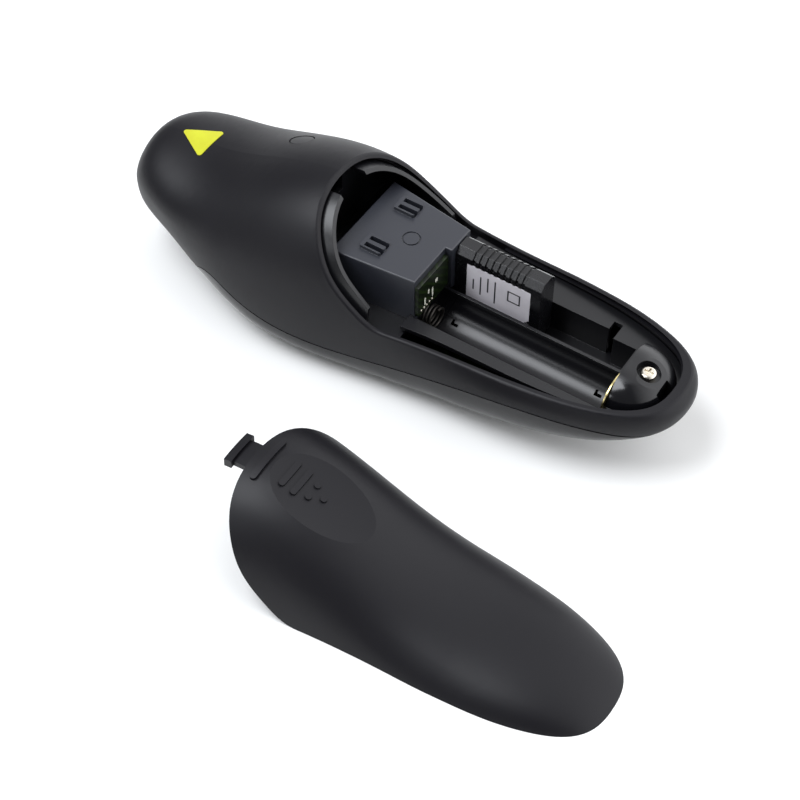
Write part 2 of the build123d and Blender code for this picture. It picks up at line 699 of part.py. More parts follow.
def make_housing():
    """Box for the plug and the module, with two slotted snap hooks on top."""
    plug_y = (RECEIVER_Y - PLUG_THICK / 2 - RUN, RECEIVER_Y + PLUG_THICK / 2 + RUN)
    plug_top = RECEIVER_Z + RECEIVER_TALL / 2 + PLUG_WIDE / 2 + RUN
    with BuildPart() as housing:
        with BuildSketch(Plane.XY.offset(FLOOR_Z)):
            add(housing_outline())
        extrude(amount=HOUSING_TOP - FLOOR_Z)
        fillet(housing.faces().sort_by(Axis.Z)[-1].edges(), HOUSING_ROUND)
        with BuildSketch(Plane.XY.offset(HOUSING_TOP)):
            with Locations(*HOOKS):
                RectangleRounded(HOOK_LONG, HOOK_WIDE, HOOK_ROUND)
        extrude(amount=HOOK_HIGH)
        with BuildSketch(Plane.XY.offset(HOUSING_TOP + HOOK_HIGH)):
            for x, y in HOOKS:
                with Locations(*[(x + along, y + across) for along, across in HOOK_SLOTS]):
                    Rectangle(HOOK_LONG - HOOK_SLOT_END, HOOK_SLOT)
        extrude(amount=-HOOK_HIGH - 2 * HOUSING_WALL, mode=Mode.SUBTRACT)
        with BuildSketch(Plane.XY.offset(HOUSING_TOP)):
            with Locations((MARK_X, 0)):
                Circle(MARK_D / 2)
                Circle(MARK_D / 2 - MARK_LINE, mode=Mode.SUBTRACT)
        extrude(amount=-MARK_DEEP, mode=Mode.SUBTRACT)
        with BuildSketch(Plane.XY.offset(FLOOR_Z)):
            add(housing_outline(HOUSING_WALL))
        extrude(amount=HOUSING_TOP - HOUSING_WALL - FLOOR_Z, mode=Mode.SUBTRACT)
        slab((RECEIVER_X - PLUG_LONG - 1, ABOVE), plug_y, (0, plug_top), Mode.SUBTRACT)
    return housing


compartment_tray = make_tray()
finish(compartment_tray, "compartment_tray")
module_housing = make_housing()
finish(module_housing, "module_housing")

with BuildPart() as rear_board:
    slab((HOUSING_X[1], HOUSING_X[1] + REAR_BOARD_THICK), REAR_BOARD_Y, REAR_BOARD_Z)
finish(rear_board, "rear_board")


# ---------------------------------------------------------------- main board and what is on it
def make_main_board():
    front, rear = MAIN_BOARD_X
    with BuildPart() as board:
        with BuildSketch(Plane.XY.offset(MAIN_BOARD_Z)):
            with Locations(((front + rear) / 2, 0)):
                RectangleRounded(rear - front, 2 * MAIN_BOARD_Y, BOARD_ROUND)
            with Locations(*BOARD_BOSSES):
                Circle(BOARD_SCREW_D / 2 + BOARD_HOLE_FIT, mode=Mode.SUBTRACT)
        extrude(amount=BOARD_THICK)
    return board


def make_key_switches():
    """Low tactile switches on the underside of the main board, one above each key."""
    with BuildPart() as switches:
        for x, _, _ in KEYS.values():
            post(x, 0, SWITCH_D, MAIN_BOARD_Z - SWITCH_H, MAIN_BOARD_Z)
            post(x, 0, PLUNGER_D, KEY_TOP + KEY_TRAVEL + PLUNGER_GAP, MAIN_BOARD_Z - SWITCH_H)
    return switches


def make_board_screws():
    with BuildPart() as screws:
        for x, y in BOARD_BOSSES:
            post(x, y, 2 * BOARD_SCREW_D, BOARD_TOP, BOARD_TOP + BOARD_SCREW_HEAD)
            post(x, y, BOARD_SCREW_D, MAIN_BOARD_Z - BOARD_SCREW_DEEP, BOARD_TOP)
    return screws


def make_tail_screw():
    """Pan head screw in the tail dome with a cross recess."""
    head_bottom = SCREW_HEAD_TOP - SCREW_HEAD_H
    with BuildPart() as screw:
        post(SCREW_X, 0, SCREW_HEAD_D, head_bottom, SCREW_HEAD_TOP)
        fillet(screw.faces().sort_by(Axis.Z)[-1].edges(), SCREW_HEAD_ROUND)
        post(SCREW_X, 0, SCREW_D, head_bottom - SCREW_LONG + SCREW_SPARE, head_bottom)
        with Locations((SCREW_X, 0, SCREW_HEAD_TOP)):
            Box(CROSS_LONG, CROSS_WIDE, CROSS_DEEP, mode=Mode.SUBTRACT)
            Box(CROSS_WIDE, CROSS_LONG, CROSS_DEEP, mode=Mode.SUBTRACT)
    return screw


main_board = make_main_board()
finish(main_board, "main_board")
finish(make_key_switches(), "key_switches")
finish(make_board_screws(), "board_screws")
finish(make_tail_screw(), "tail_screw")

with BuildPart() as radio_chip:
    slab(CHIP_X, CHIP_Y, (BOARD_TOP, BOARD_TOP + CHIP_HIGH))
    chamfer(radio_chip.faces().sort_by(Axis.Z)[-1].edges(), CHIP_BEVEL)
finish(radio_chip, "radio_chip")

with BuildPart() as crystal_can:
    with BuildSketch(Plane.XY.offset(BOARD_TOP)):
        with Locations(CRYSTAL_AT):
            SlotOverall(CRYSTAL_LONG, CRYSTAL_WIDE)
    extrude(amount=CRYSTAL_HIGH)
    fillet(crystal_can.faces().sort_by(Axis.Z)[-1].edges(), CRYSTAL_ROUND)
finish(crystal_can, "crystal_can")

with BuildPart() as power_switch:
    slab(POWER_SWITCH_X, POWER_SWITCH_Y, (MAIN_BOARD_Z - POWER_SWITCH_H, MAIN_BOARD_Z))
finish(power_switch, "power_switch")


# ---------------------------------------------------------------- keys, panel, slide and light
def make_key(name):
    """Key cap that follows the belly, with a flange that keeps it behind the panel."""
    with BuildPart() as cap:
        extrude(key_outline(name), amount=KEY_TOP)
        add(skin(KEY_SINK), mode=Mode.INTERSECT)
        slab((-ABOVE, ABOVE), (-BESIDE, BESIDE), (-WALL, RUN), Mode.SUBTRACT)
    with BuildPart() as flange:
        extrude(key_outline(name, KEY_FLANGE), amount=KEY_TOP)
        add(skin(WALL + RUN), mode=Mode.INTERSECT)
    with BuildPart() as key:
        add(cap.part)
        add(flange.part)
    return key


def make_key_panel():
    """Plate flush in the front shell, with a hole round each key."""
    with BuildPart() as panel:
        extrude(panel_outline(), amount=FLOOR_Z / 2)
        add(OUTER, mode=Mode.INTERSECT)
        add(INNER, mode=Mode.SUBTRACT)
        for name in KEYS:
            extrude(key_outline(name, RUN), amount=FLOOR_Z, mode=Mode.SUBTRACT)
    return panel


for key_name in KEYS:
    finish(make_key(key_name), key_name)
finish(make_key_panel(), "key_panel")

with BuildPart() as power_slider:
    with BuildSketch():
        with Locations((SLIDE_X, 0)):
            RectangleRounded(SLIDE_LONG, SLIDE_WIDE, SLIDE_WIDE / 5)
    extrude(amount=KEY_TOP)
    add(skin(SLIDE_SINK), mode=Mode.INTERSECT)
    for step in SLIDE_GROOVES:
        groove = (SLIDE_X + step - SLIDE_GROOVE_WIDE / 2, SLIDE_X + step + SLIDE_GROOVE_WIDE / 2)
        slab(groove, (-BESIDE, BESIDE), (0, SLIDE_GROOVE_TOP), Mode.SUBTRACT)
    before, behind, beside = SLIDE_FLANGE
    slab(
        (SLIDE_X - SLIDE_LONG / 2 - before, SLIDE_X + SLIDE_LONG / 2 + behind),
        (-SLIDE_WIDE / 2 - beside, SLIDE_WIDE / 2 + beside),
        (KEY_TOP - KEY_FLANGE, KEY_TOP),
    )
finish(power_slider, "power_slider")

with BuildPart() as status_light:
    post(STATUS_X, 0, STATUS_D - STATUS_FIT, 0, MAIN_BOARD_Z)
    add(OUTER, mode=Mode.INTERSECT)
finish(status_light, "status_light")


# ---------------------------------------------------------------- connect button and laser
def make_connect_button():
    with BuildPart() as button:
        with BuildSketch(CONNECT_PLANE.offset(-2 * WALL)):
            Circle(CONNECT_D / 2)
        extrude(amount=4 * WALL)
        add(skin(CONNECT_SINK), mode=Mode.INTERSECT)
        with BuildSketch(CONNECT_PLANE.offset(-2 * WALL)):
            Circle(CONNECT_D / 2 + CONNECT_FLANGE)
        extrude(amount=KEY_FLANGE)
    return button


def make_connect_switch():
    """Round switch held in the mouth of the button's well."""
    depth = CONNECT_WELL - FIT
    top = depth - 2 * SWITCH_H
    with BuildPart() as switch:
        with BuildSketch(CONNECT_PLANE.offset(-depth)):
            Circle(CONNECT_D / 2 + CONNECT_FLANGE + RUN)
        extrude(amount=2 * SWITCH_H)
        with BuildSketch(CONNECT_PLANE.offset(-top)):
            Circle(PLUNGER_D / 2)
        extrude(amount=top - 2 * WALL - CONNECT_TRAVEL - FIT / 2)
    return switch


finish(make_connect_button(), "connect_button")
finish(make_connect_switch(), "connect_switch")

with BuildPart() as laser_barrel:
    along_x(0, LASER_Z, BARREL_D, BARREL_FRONT, BARREL_FRONT + BARREL_LONG)
    along_x(0, LASER_Z, BARREL_MOUTH_D, BARREL_FRONT, BARREL_FRONT + BARREL_MOUTH_DEEP, Mode.SUBTRACT)
finish(laser_barrel, "laser_barrel")

with BuildPart() as laser_window:
    along_x(0, LASER_Z, WINDOW_D, NOSE[0] - WALL, BARREL_FRONT - WINDOW_GAP)
    add(skin(WINDOW_SINK), mode=Mode.INTERSECT)
finish(laser_window, "laser_window")


# ---------------------------------------------------------------- battery contacts
def make_contact_plate():
    """Round-topped plate with a raised button, standing against the dome."""
    front = TROUGH_END - PLATE_THICK
    with BuildPart() as plate:
        with BuildSketch(Plane.YZ.offset(front)):
            with Locations((CELL_Y, CELL_Z)):
                Circle(TROUGH_R + PLATE_CROWN)
            with Locations((CELL_Y, 0)):
                Rectangle(4 * TROUGH_R, 2 * (LEDGE_Z + PLATE_FIT), mode=Mode.SUBTRACT)
            with Locations((CELL_Y, CELL_Z)):
                Circle(TROUGH_R - PLATE_FIT)
        extrude(amount=PLATE_THICK)
        along_x(CELL_Y, CELL_Z, PLATE_BUTTON_D, front - PLATE_BUTTON_HIGH, front)
    return plate


def make_battery_spring():
    start = (TROUGH_FRONT + SPRING_WIRE / 2 + SPRING_GAP, CELL_Y, CELL_Z - SPRING_DROP)
    reach = SPRING_TURNS * SPRING_PITCH
    with BuildPart() as spring:
        with BuildLine():
            coil = Helix(SPRING_PITCH, reach, SPRING_R, center=start, direction=(1, 0, 0))
        with BuildSketch(Plane(origin=coil @ 0, z_dir=coil % 0)):
            Circle(SPRING_WIRE / 2)
        sweep(is_frenet=True)
    return spring


finish(make_contact_plate(), "contact_plate")
finish(make_battery_spring(), "battery_spring")


# ---------------------------------------------------------------- receiver
def receiver_section(inset=0.0):
    """Receiver seen from its end: a slab with a chamfered grip edge on top."""
    with BuildSketch() as outline:
        with Locations((RECEIVER_Y, RECEIVER_Z + RECEIVER_TALL / 2)):
            Rectangle(RECEIVER_THICK, RECEIVER_TALL)
        chamfer(outline.vertices().group_by(Axis.Y)[-1], RECEIVER_THICK / 4)
        chamfer(outline.vertices().group_by(Axis.Y)[0], RECEIVER_THICK / 12)
        if inset:
            offset(amount=-inset, kind=Kind.INTERSECTION)
    return outline.sketch


def make_receiver_shell():
    """Hollow receiver body with a ribbed grip edge and a shallow bed for its label."""
    grip_low = RECEIVER_Z + RECEIVER_RIB_FOOT * RECEIVER_TALL
    with BuildPart() as shell:
        with BuildSketch(Plane.YZ.offset(RECEIVER_X)):
            add(receiver_section())
        extrude(amount=RECEIVER_LONG)
        middle = RECEIVER_X + RECEIVER_LONG / 2
        for rib in range(RECEIVER_RIBS):
            x = middle + (rib - (RECEIVER_RIBS - 1) / 2) * RECEIVER_RIB_PITCH
            with BuildSketch(Plane.YZ.offset(x - RECEIVER_RIB_PITCH / 4)):
                add(receiver_section())
                add(receiver_section(RECEIVER_RIB_DEEP), mode=Mode.SUBTRACT)
                with Locations((RECEIVER_Y, 0)):
                    Rectangle(4 * RECEIVER_THICK, 2 * grip_low, mode=Mode.SUBTRACT)
            extrude(amount=RECEIVER_RIB_PITCH / 2, mode=Mode.SUBTRACT)
        with BuildSketch(Plane.YZ.offset(RECEIVER_X + RECEIVER_WALL)):
            add(receiver_section(RECEIVER_WALL + RECEIVER_RIB_DEEP))
        extrude(amount=RECEIVER_LONG - 2 * RECEIVER_WALL, mode=Mode.SUBTRACT)
        slab(LABEL_X, (-BESIDE, RECEIVER_Y - RECEIVER_THICK / 2 + LABEL_THICK), LABEL_Z, Mode.SUBTRACT)
    return shell


def make_receiver_plug():
    """Folded steel sleeve of a type A plug with its two latch windows a side."""
    middle_z = RECEIVER_Z + RECEIVER_TALL / 2
    with BuildPart() as plug:
        with BuildSketch(Plane.YZ.offset(RECEIVER_X - PLUG_LONG)):
            with Locations((RECEIVER_Y, middle_z)):
                RectangleRounded(PLUG_THICK, PLUG_WIDE, PLUG_ROUND)
                Rectangle(PLUG_THICK - 2 * PLUG_WALL, PLUG_WIDE - 2 * PLUG_WALL, mode=Mode.SUBTRACT)
        extrude(amount=PLUG_LONG)
        for window_z in (middle_z - PLUG_WINDOW_Z, middle_z + PLUG_WINDOW_Z):
            with Locations((RECEIVER_X - PLUG_WINDOW_X, RECEIVER_Y, window_z)):
                Box(PLUG_WINDOW, 2 * PLUG_THICK, PLUG_WINDOW, mode=Mode.SUBTRACT)
    return plug


finish(make_receiver_shell(), "receiver_shell")
finish(make_receiver_plug(), "receiver_plug")

with BuildPart() as plug_insulator:
    middle_z = RECEIVER_Z + RECEIVER_TALL / 2
    inside_y = RECEIVER_Y - PLUG_THICK / 2 + PLUG_WALL
    slab(
        (RECEIVER_X - PLUG_LONG + INSULATOR_SINK, RECEIVER_X),
        (inside_y, inside_y + INSULATOR_THICK),
        (middle_z - PLUG_WIDE / 2 + PLUG_WALL, middle_z + PLUG_WIDE / 2 - PLUG_WALL),
    )
finish(plug_insulator, "plug_insulator")

with BuildPart() as receiver_label:
    label_y = RECEIVER_Y - RECEIVER_THICK / 2
    slab(LABEL_X, (label_y, label_y + LABEL_THICK), LABEL_Z)
    chamfer(receiver_label.edges().filter_by(Axis.Y).sort_by(Axis.X)[-2:].sort_by(Axis.Z)[0], LABEL_CORNER)
finish(receiver_label, "receiver_label")

with BuildPart() as receiver_board:
    slab(
        tuple(RECEIVER_X + end for end in RECEIVER_BOARD_LONG),
        (RECEIVER_Y - RECEIVER_BOARD_THICK / 2, RECEIVER_Y + RECEIVER_BOARD_THICK / 2),
        (RECEIVER_Z + RECEIVER_BOARD_RISE[0], RECEIVER_Z + RECEIVER_TALL - RECEIVER_BOARD_RISE[1]),
    )
finish(receiver_board, "receiver_board")


# ---------------------------------------------------------------- sticker
def make_nose_sticker():
    """Plain triangular sticker lying on the crown of the nose."""
    radius = STICKER_SIDE / 3**0.5
    with BuildPart() as sticker:
        with BuildSketch() as triangle:
            with Locations((STICKER_X, 0)):
                RegularPolygon(radius, 3, rotation=180)
            fillet(triangle.vertices(), STICKER_ROUND)
        extrude(amount=ABOVE)
        add(skin(-STICKER_THICK), mode=Mode.INTERSECT)
        add(OUTER, mode=Mode.SUBTRACT)
        slab((-ABOVE * 2, ABOVE), (-BESIDE, BESIDE), (0, FLOOR_Z), Mode.SUBTRACT)
    return sticker


finish(make_nose_sticker(), "nose_sticker")
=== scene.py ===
"""Looks of the wireless presenter: finishes, printed parts and a studio stage round the CAD frame."""
import math

import bmesh
import bpy
from bpy.props import FloatProperty, FloatVectorProperty, PointerProperty
from mathutils import Matrix, Vector


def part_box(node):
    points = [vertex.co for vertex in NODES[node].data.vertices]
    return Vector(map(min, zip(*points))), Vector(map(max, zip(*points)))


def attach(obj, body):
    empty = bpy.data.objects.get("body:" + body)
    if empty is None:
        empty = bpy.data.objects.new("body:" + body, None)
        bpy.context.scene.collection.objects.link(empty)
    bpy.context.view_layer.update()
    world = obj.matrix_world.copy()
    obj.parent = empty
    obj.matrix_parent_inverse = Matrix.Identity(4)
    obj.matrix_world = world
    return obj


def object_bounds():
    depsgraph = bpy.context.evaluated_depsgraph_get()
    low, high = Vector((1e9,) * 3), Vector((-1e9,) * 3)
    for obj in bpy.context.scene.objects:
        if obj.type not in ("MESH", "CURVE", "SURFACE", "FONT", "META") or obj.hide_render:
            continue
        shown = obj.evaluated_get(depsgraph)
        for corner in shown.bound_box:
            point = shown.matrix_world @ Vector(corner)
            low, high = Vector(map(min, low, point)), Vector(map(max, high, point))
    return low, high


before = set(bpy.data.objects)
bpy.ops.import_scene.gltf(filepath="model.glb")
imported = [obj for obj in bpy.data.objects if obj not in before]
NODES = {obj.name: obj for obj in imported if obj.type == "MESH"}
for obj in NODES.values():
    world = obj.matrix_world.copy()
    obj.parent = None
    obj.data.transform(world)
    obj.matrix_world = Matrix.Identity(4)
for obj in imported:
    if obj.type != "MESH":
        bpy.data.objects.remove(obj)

bl_info = {
    "name": "Wireless presenter finishes",
    "version": (1, 0, 0),
    "blender": (4, 5, 0),
    "location": "View3D > Sidebar > Presenter",
    "description": "Dresses the packed presenter with its lacquer, mouldings, boards, metal and label",
    "category": "Object",
}

CAD_BOX = [list(corner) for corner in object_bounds()]
MM = 0.001

NOISE_LOW, NOISE_HIGH = 0.3, 0.7  # most values of a noise texture lie between these
BAND_SPAN = 0.3  # a wave texture of scale BAND_SPAN / pitch repeats about once in that pitch
FINE_EDGE = 0.06 * MM  # radius left on plated, turned and epoxy edges
PARALLEL = 0.9  # cosine above which an edge counts as running along an axis


# ---------------------------------------------------------------- colours and settings
def linear(hex_colour):
    """sRGB hex such as 1d1b20 to linear red, green, blue and alpha."""
    channels = [int(hex_colour[i:i + 2], 16) / 255 for i in (0, 2, 4)]
    return [c / 12.92 if c <= 0.04045 else ((c + 0.055) / 1.055) ** 2.4 for c in channels] + [1.0]


def colour_setting(name, description, hex_colour):
    return FloatVectorProperty(
        name=name, description=description, subtype="COLOR", size=4, min=0, max=1,
        default=linear(hex_colour),
    )


def length_setting(name, description, millimetres):
    return FloatProperty(
        name=name, description=description, unit="LENGTH", min=0, precision=5,
        default=millimetres * MM,
    )


def angle_setting(name, description, degrees):
    return FloatProperty(
        name=name, description=description, subtype="ANGLE", default=math.radians(degrees),
    )


def power_setting(name, description, watts):
    return FloatProperty(name=name, description=description, unit="POWER", min=0, default=watts)


class PresenterFinishes(bpy.types.PropertyGroup):
    """Colours and grain of the real materials; the solder mask and spring wire colours are darkened as
    painted shade.
    """
    lacquer: colour_setting("Lacquer", "Soft-touch lacquer on the shells and the cover", "0e0d12")
    # Both grains are finer on the real mouldings, and are drawn this coarse so that they show.
    lacquer_grain: length_setting("Lacquer grain", "Size of the overspray grain", 0.3)
    spark_grain: length_setting("Spark grain", "Grain of spark-eroded mould faces", 0.12)
    edge: length_setting("Moulded edge", "Radius left on moulded corners", 0.15)
    polished: colour_setting("Polished ABS", "Black ABS from a polished mould", "0d0d10")
    moulded: colour_setting("Moulded ABS", "Black ABS of the tray", "0f0f12")
    slate: colour_setting("Satin ABS", "Dark ABS of the module housing", "292b32")
    key: colour_setting("Key rubber", "Silicone of the keys", "232326")
    window: colour_setting("Smoked acrylic", "Acrylic of the laser port and the light", "b8b4b4")
    film: colour_setting("Label film", "Matt polyester label on the receiver", "e4e0e6")
    ink: colour_setting("Label ink", "Grey-black printing ink", "26252a")
    vinyl: colour_setting("Sticker vinyl", "Yellow vinyl of the triangle on the nose", "bfc21c")
    # The mask colour is darkened into painted shade, for the board's place in the shadow under the
    # housing's roof.
    mask: colour_setting("Solder mask", "Green solder mask over the laminate", "0d1508")
    copper: colour_setting("Masked copper", "Tracks that show through the solder mask", "1a280c")
    legend: colour_setting("Board legend", "White marks printed on the board that shows", "dfe0d2")
    nickel: colour_setting("Nickel plate", "Bright nickel on screws and plug", "dfd8ca")
    # The spring colour is painted shade: the wire is drawn dull and dark to read as the shade at the
    # trough's end.
    spring: colour_setting("Spring wire", "Dull phosphated spring wire", "4d4a47")
    gold: colour_setting("Contact plate", "Flash-gilded steel of the cell contact", "d9c98f")
    brass: colour_setting("Laser brass", "Turned brass of the laser barrel", "c39a4f")
    epoxy: colour_setting("Chip epoxy", "Moulded epoxy of chips and switches", "17181a")


class PresenterStage(bpy.types.PropertyGroup):
    """Floor, room, lamps and camera."""
    floor: colour_setting("Floor", "Matt white paper sweep", "f4f4f2")
    floor_size: length_setting("Floor size", "Side of the paper sweep", 6000)
    room: colour_setting("Room light", "Colour of the light from the walls", "f7f8fb")
    room_turn: angle_setting("Room turn", "Way to the bright wall, clockwise from +Y", 40)
    room_dim: FloatProperty(
        name="Room, dim side", description="Light from the dim wall", min=0, default=0.2,
    )
    room_bright: FloatProperty(
        name="Room, bright side", description="Light from the bright wall", min=0, default=2.2,
    )
    lamp: colour_setting("Lamp light", "Colour of both lamps", "f4f7fc")
    lamp_distance: length_setting("Lamp distance", "Either lamp to the target", 1000)
    softbox: power_setting("Softbox power", "Large square lamp overhead", 10.5)
    softbox_side: length_setting("Softbox side", "Side of the square softbox", 650)
    softbox_azimuth: angle_setting("Softbox azimuth", "Turn of the softbox round the object", -58)
    softbox_elevation: angle_setting("Softbox elevation", "Height of the softbox", 62)
    strip: power_setting("Edge lamp power", "Small low lamp for edges", 0.7)
    strip_side: length_setting("Edge lamp side", "Side of the square edge lamp", 220)
    strip_azimuth: angle_setting("Edge lamp azimuth", "Turn of the edge lamp round the object", -25)
    strip_elevation: angle_setting("Edge lamp elevation", "Height of the edge lamp", 30)
    target: FloatVectorProperty(
        name="Target", description="Point that the camera and the lamps look at",
        subtype="TRANSLATION", unit="LENGTH", default=(0.0373, -0.0404, 0.0303),
    )
    azimuth: angle_setting("Azimuth", "Camera turn round the object", 33.3)
    elevation: angle_setting("Elevation", "Camera height", 51.23)
    roll: angle_setting("Roll", "Camera tilt about its view line", 0.15)
    distance: length_setting("Distance", "Camera to target", 374.5)
    lens: FloatProperty(name="Lens", description="Focal length", unit="CAMERA", min=1, default=81.0)


# ---------------------------------------------------------------- nodes and what they do to a surface
def add_node(tree, kind, inputs=None, **settings):
    """Adds one shader node. An input is a plain value, or an output socket to link from."""
    made = tree.nodes.new(kind)
    for name, value in settings.items():
        setattr(made, name, value)
    for name, value in (inputs or {}).items():
        if isinstance(value, bpy.types.NodeSocket):
            tree.links.new(value, made.inputs[name])
        else:
            made.inputs[name].default_value = value
    return made


def new_finish(name, colour, roughness, **sockets):
    """A Principled material; returns material, tree, shader and object coordinates.

    The roughness holds all over, unless shade_gloss or mottle_gloss drives it.
    """
    material = bpy.data.materials.new(name)
    material.use_nodes = True
    tree = material.node_tree
    shader = tree.nodes["Principled BSDF"]
    shader.inputs["Base Color"].default_value = colour
    shader.inputs["Roughness"].default_value = roughness
    for socket, value in sockets.items():
        shader.inputs[socket.replace("_", " ")].default_value = value
    coords = add_node(tree, "ShaderNodeTexCoord").outputs["Object"]
    return material, tree, shader, coords


def shade_gloss(tree, shader, value, low, high, start=NOISE_LOW, end=NOISE_HIGH):
    """Drives the roughness from low to high while a value runs from start to end."""
    gloss = add_node(
        tree, "ShaderNodeMapRange",
        {"Value": value, "From Min": start, "From Max": end, "To Min": low, "To Max": high},
    )
    tree.links.new(gloss.outputs["Result"], shader.inputs["Roughness"])


def mottle_gloss(tree, shader, coords, patch, low, high, detail=3):
    """Lets the roughness wander between low and high, in patches about patch metres across."""
    patches = add_node(
        tree, "ShaderNodeTexNoise", {"Vector": coords, "Scale": 1 / patch, "Detail": detail},
    )
    shade_gloss(tree, shader, patches.outputs["Fac"], low, high)


def blend_colour(tree, shader, share, first, second):
    """Blends the base colour from first to second as share goes from 0 to 1."""
    mixed = add_node(
        tree, "ShaderNodeMix", {"Factor": share, "A": first, "B": second}, data_type="RGBA",
    )
    tree.links.new(mixed.outputs["Result"], shader.inputs["Base Color"])


def mottle_colour(tree, shader, coords, patch, first, second, detail):
    """Lets the base colour wander between two colours, in patches about patch metres across."""
    patches = add_node(
        tree, "ShaderNodeTexNoise", {"Vector": coords, "Scale": 1 / patch, "Detail": detail},
    )
    share = add_node(
        tree, "ShaderNodeMapRange",
        {"Value": patches.outputs["Fac"], "From Min": NOISE_LOW, "From Max": NOISE_HIGH},
    )
    blend_colour(tree, shader, share.outputs["Result"], first, second)


def emboss(tree, shader, height, depth, edge=0.0):
    """Bump of depth metres; edge rounds the shading of sharp corners by that radius."""
    inputs = {"Height": height, "Distance": depth, "Strength": 1.0}
    if edge:
        rounded = add_node(tree, "ShaderNodeBevel", {"Radius": edge}, samples=4)
        inputs["Normal"] = rounded.outputs["Normal"]
    bump = add_node(tree, "ShaderNodeBump", inputs)
    tree.links.new(bump.outputs["Normal"], shader.inputs["Normal"])


def emboss_grain(tree, shader, coords, grain, depth, edge=0.0, detail=2):
    """Bump of depth metres whose grains are about grain metres across."""
    grains = add_node(
        tree, "ShaderNodeTexNoise", {"Vector": coords, "Scale": 1 / grain, "Detail": detail},
    )
    emboss(tree, shader, grains.outputs["Fac"], depth, edge)


def dress(material, *names):
    for name in names:
        for held in NODES[name].material_slots:
            held.material = material


# ---------------------------------------------------------------- finishes
def soft_touch_lacquer(look):
    """ABS sprayed with soft-touch polyurethane: dead matt black, a faint bloom, overspray grain."""
    material, tree, shader, coords = new_finish(
        "soft_touch_lacquered_abs", look.lacquer, 0.45, Specular_IOR_Level=0.28,
    )
    mottle_gloss(tree, shader, coords, 16 * MM, 0.43, 0.48)
    emboss_grain(tree, shader, coords, look.lacquer_grain, 0.004 * MM)
    return material


def polished_abs(look):
    """ABS from a mirror-polished mould: deep gloss with the slight waviness of moulded plastic."""
    material, tree, shader, coords = new_finish(
        "polished_moulded_abs", look.polished, 0.12, IOR=1.54, Specular_IOR_Level=0.3,
    )
    mottle_gloss(tree, shader, coords, 5 * MM, 0.09, 0.16)
    emboss_grain(tree, shader, coords, 6 * MM, 0.02 * MM, look.edge, detail=1)
    return material


def tray_abs(look):
    """ABS tray: spark-eroded satin on the flats, polished by the core pin inside the cell trough."""
    material, tree, shader, coords = new_finish("semi_gloss_moulded_abs", look.moulded, 0.3, IOR=1.5)
    # The trough's axis runs through the spring, and the contact plate gives its foot and its width.
    spring_low, spring_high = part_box("battery_spring")
    plate_low, plate_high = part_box("contact_plate")
    trough_radius = (plate_high.y - plate_low.y) / 2
    axis_y = (spring_low.y + spring_high.y) / 2
    axis_z = plate_low.z + trough_radius
    apart = add_node(
        tree, "ShaderNodeVectorMath",
        {0: coords, 1: (0, 1, 1), 2: (0, -axis_y, -axis_z)}, operation="MULTIPLY_ADD",
    )
    reach = add_node(tree, "ShaderNodeVectorMath", {0: apart.outputs["Vector"]}, operation="LENGTH")
    shade_gloss(
        tree, shader, reach.outputs["Value"], 0.14, 0.32,
        start=trough_radius - 0.3 * MM, end=trough_radius + 0.1 * MM,
    )
    emboss_grain(tree, shader, coords, look.spark_grain, 0.0015 * MM, look.edge)
    return material


def spark_eroded_abs(look):
    """ABS from a spark-eroded mould: an even satin that greys under a broad light."""
    material, tree, shader, coords = new_finish("spark_eroded_abs", look.slate, 0.36, IOR=1.54)
    mottle_gloss(tree, shader, coords, 9 * MM, 0.33, 0.4)
    emboss_grain(tree, shader, coords, look.spark_grain, 0.003 * MM, look.edge)
    return material


def receiver_abs(look):
    """ABS of the receiver: fine satin with rounded rib crests."""
    material, tree, shader, coords = new_finish("satin_moulded_abs", look.polished, 0.26, IOR=1.54)
    mottle_gloss(tree, shader, coords, 4 * MM, 0.22, 0.32)
    emboss_grain(tree, shader, coords, look.spark_grain, 0.002 * MM, look.edge)
    return material


def key_silicone(look):
    """Moulded silicone keys: soft dark grey with a little sheen."""
    material, tree, shader, coords = new_finish(
        "moulded_silicone", look.key, 0.6, IOR=1.43, Sheen_Weight=0.1, Sheen_Roughness=0.5,
    )
    mottle_gloss(tree, shader, coords, 3 * MM, 0.52, 0.66)
    emboss_grain(tree, shader, coords, look.lacquer_grain, 0.006 * MM, look.edge)
    return material


def label_film(look):
    """Matt polyester label: pale, slightly uneven where it was rubbed down."""
    material, tree, shader, coords = new_finish("matt_polyester_film", look.film, 0.55)
    rubbing = 0.9
    rubbed = [rubbing * channel for channel in look.film[:3]] + [1.0]
    mottle_colour(tree, shader, coords, 4 * MM, look.film, rubbed, detail=3)
    emboss_grain(tree, shader, coords, 1.5 * MM, 0.004 * MM)
    return material


def printed_ink(name, colour):
    """Screen-printed ink: a flat film with a slightly ragged sheen."""
    material, tree, shader, coords = new_finish(name, colour, 0.5)
    mottle_gloss(tree, shader, coords, 0.4 * MM, 0.4, 0.6, detail=2)
    return material


def sticker_vinyl(look):
    """Calendered vinyl: saturated yellow under a thin clear laminate."""
    material, tree, shader, coords = new_finish(
        "calendered_vinyl", look.vinyl, 0.45, Coat_Weight=0.12, Coat_Roughness=0.3,
    )
    deepening = (0.93, 0.9, 0.8)
    deeper = [share * channel for share, channel in zip(deepening, look.vinyl)] + [1.0]
    mottle_colour(tree, shader, coords, 3 * MM, look.vinyl, deeper, detail=2)
    emboss_grain(tree, shader, coords, 2 * MM, 0.003 * MM)
    return material


